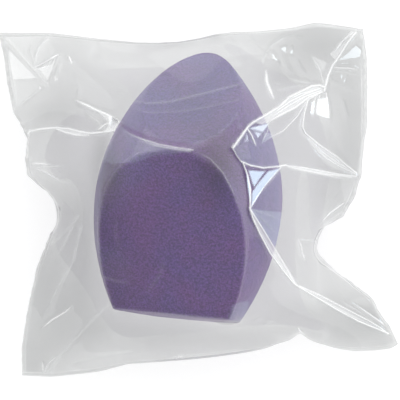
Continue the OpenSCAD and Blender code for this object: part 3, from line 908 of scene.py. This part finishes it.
def weld(name, cad, rows):
    """a closed strip as thick as both panels, from rows of points outward"""
    A = np.array(rows)
    n, k = A.shape[:2]
    T = A + np.array([0, 0, 0.03])
    B = A - np.array([0, 0, 0.03])
    V = np.concatenate([T.reshape(-1, 3), B.reshape(-1, 3)])
    F = [grid_faces(n, k), grid_faces(n, k, True) + n * k]
    i = np.arange(n * k).reshape(n, k)
    loop = np.concatenate([i[0, :-1], i[:-1, -1], i[-1, :0:-1], i[:0:-1, 0]])
    nxt = np.roll(loop, -1)
    F.append(np.stack([loop, loop + n * k, nxt + n * k, nxt], 1))
    ob = mesh_from(name, V, np.concatenate(F))
    ob.data.materials.append(weldm)
    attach(ob, "root")
    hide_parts(cad)
    return ob


mid = (front + back) / 2
weld("weld_top", "top_weld", mid[-r - 1 :, :])
weld("weld_bottom", "bottom_weld", mid[: r + 1, :])
weld("weld_left", "left_weld", mid[r : -r, : r + 1])
weld("weld_right", "right_weld", mid[r : -r, -r - 1 :])

# ------------------------------------------------------------------ stage and light
fl = mesh_from("floor", [[-3000, -3000, -0.05], [3000, -3000, -0.05], [3000, 3000, -0.05], [-3000, 3000, -0.05]], [[0, 1, 2, 3]], False)
m, nd, ln = node_mat("floor")
out = nd.new("ShaderNodeOutputMaterial")
bs = nd.new("ShaderNodeBsdfPrincipled")
bs.inputs["Base Color"].default_value = (0.50, 0.50, 0.50, 1)
bs.inputs["Roughness"].default_value = 0.9
bs.inputs["Specular IOR Level"].default_value = 0.1
bs.inputs["Emission Color"].default_value = (1, 1, 1, 1)
bs.inputs["Emission Strength"].default_value = 0.60
ln.new(bs.outputs[0], out.inputs[0])
fl.data.materials.append(m)

w = bpy.data.worlds.new("world")
w.use_nodes = True
wn, wl = w.node_tree.nodes, w.node_tree.links
bg = wn["Background"]
tc = wn.new("ShaderNodeTexCoord")


def wmath(op, a, b=None, c=None, clamp=False):
    n = wn.new("ShaderNodeMath")
    n.operation = op
    n.use_clamp = clamp
    for k, v in enumerate((a, b, c)):
        if v is None:
            continue
        if isinstance(v, (int, float)):
            n.inputs[k].default_value = v
        else:
            wl.new(v, n.inputs[k])
    return n.outputs[0]


def toward_axis(d):
    n = wn.new("ShaderNodeVectorMath")
    n.operation = "DOT_PRODUCT"
    n.inputs[1].default_value = tuple(np.array(d) / np.linalg.norm(d))
    wl.new(tc.outputs["Generated"], n.inputs[0])
    return n.outputs["Value"]


# brighter beyond the tip and on the right, darker on the left and behind the camera
far = wmath("POWER", wmath("MAXIMUM", toward_axis((-0.45, 1, 0.3)), 0.0), 3.0)
right = wmath("POWER", wmath("MAXIMUM", toward_axis((1, 0, 0.2)), 0.0), 2.0)
left = wmath("POWER", wmath("MAXIMUM", toward_axis((-1, 0, 0.25)), 0.0), 3.0)
dark = wn.new("ShaderNodeMapRange")
dark.interpolation_type = "SMOOTHSTEP"
dark.inputs["From Min"].default_value = 0.28
dark.inputs["From Max"].default_value = 0.90
wl.new(toward_axis((-0.10, -0.24, 0.965)), dark.inputs["Value"])
up = wn.new("ShaderNodeMapRange")
up.interpolation_type = "SMOOTHSTEP"
up.inputs["From Min"].default_value = 0.0
up.inputs["From Max"].default_value = 0.4
wl.new(toward_axis((0, 0, 1)), up.inputs["Value"])
level = wmath("MULTIPLY", wmath("MULTIPLY_ADD", right, 0.34, wmath("MULTIPLY_ADD", far, 0.42, wmath("MULTIPLY", left, -0.14))), up.outputs["Result"])
level = wmath("ADD", level, 1.0)
level = wmath("MULTIPLY_ADD", dark.outputs["Result"], -0.64, level)
bg.inputs["Color"].default_value = (0.99, 1.0, 0.992, 1)
wl.new(wmath("MULTIPLY", level, 1.62), bg.inputs["Strength"])
SCENE.world = w


def area(name, loc, size, power, target=(0, 0, 0.02), color=(1, 1, 1), size_y=None):
    l = bpy.data.lights.new(name, "AREA")
    l.energy = power
    l.size = size
    l.color = color
    if size_y:
        l.shape = "RECTANGLE"
        l.size_y = size_y
    o = bpy.data.objects.new(name, l)
    o.location = loc
    d = Vector(target) - Vector(loc)
    o.rotation_euler = d.to_track_quat("-Z", "Y").to_euler()
    SCENE.collection.objects.link(o)
    return o


def card(name, loc, size, radiance, size_y=None, color=(1, 1, 1), target=(0, 0, 0.02)):
    """an area light given by how bright its face looks"""
    return area(name, loc, size, radiance * pi * size * (size_y or size), target, color, size_y)


card("window_right", toward(WIN_R), 0.055, 3.6, color=(0.80, 0.92, 1.0))
card("window_side", toward(WIN_S), 0.09, 4.2, color=(0.58, 0.80, 1.0))
card("window_left", toward(WIN_L), 0.09, 1.5)

SCENE.view_settings.view_transform = "Standard"
SCENE.cycles.transparent_max_bounces = 24
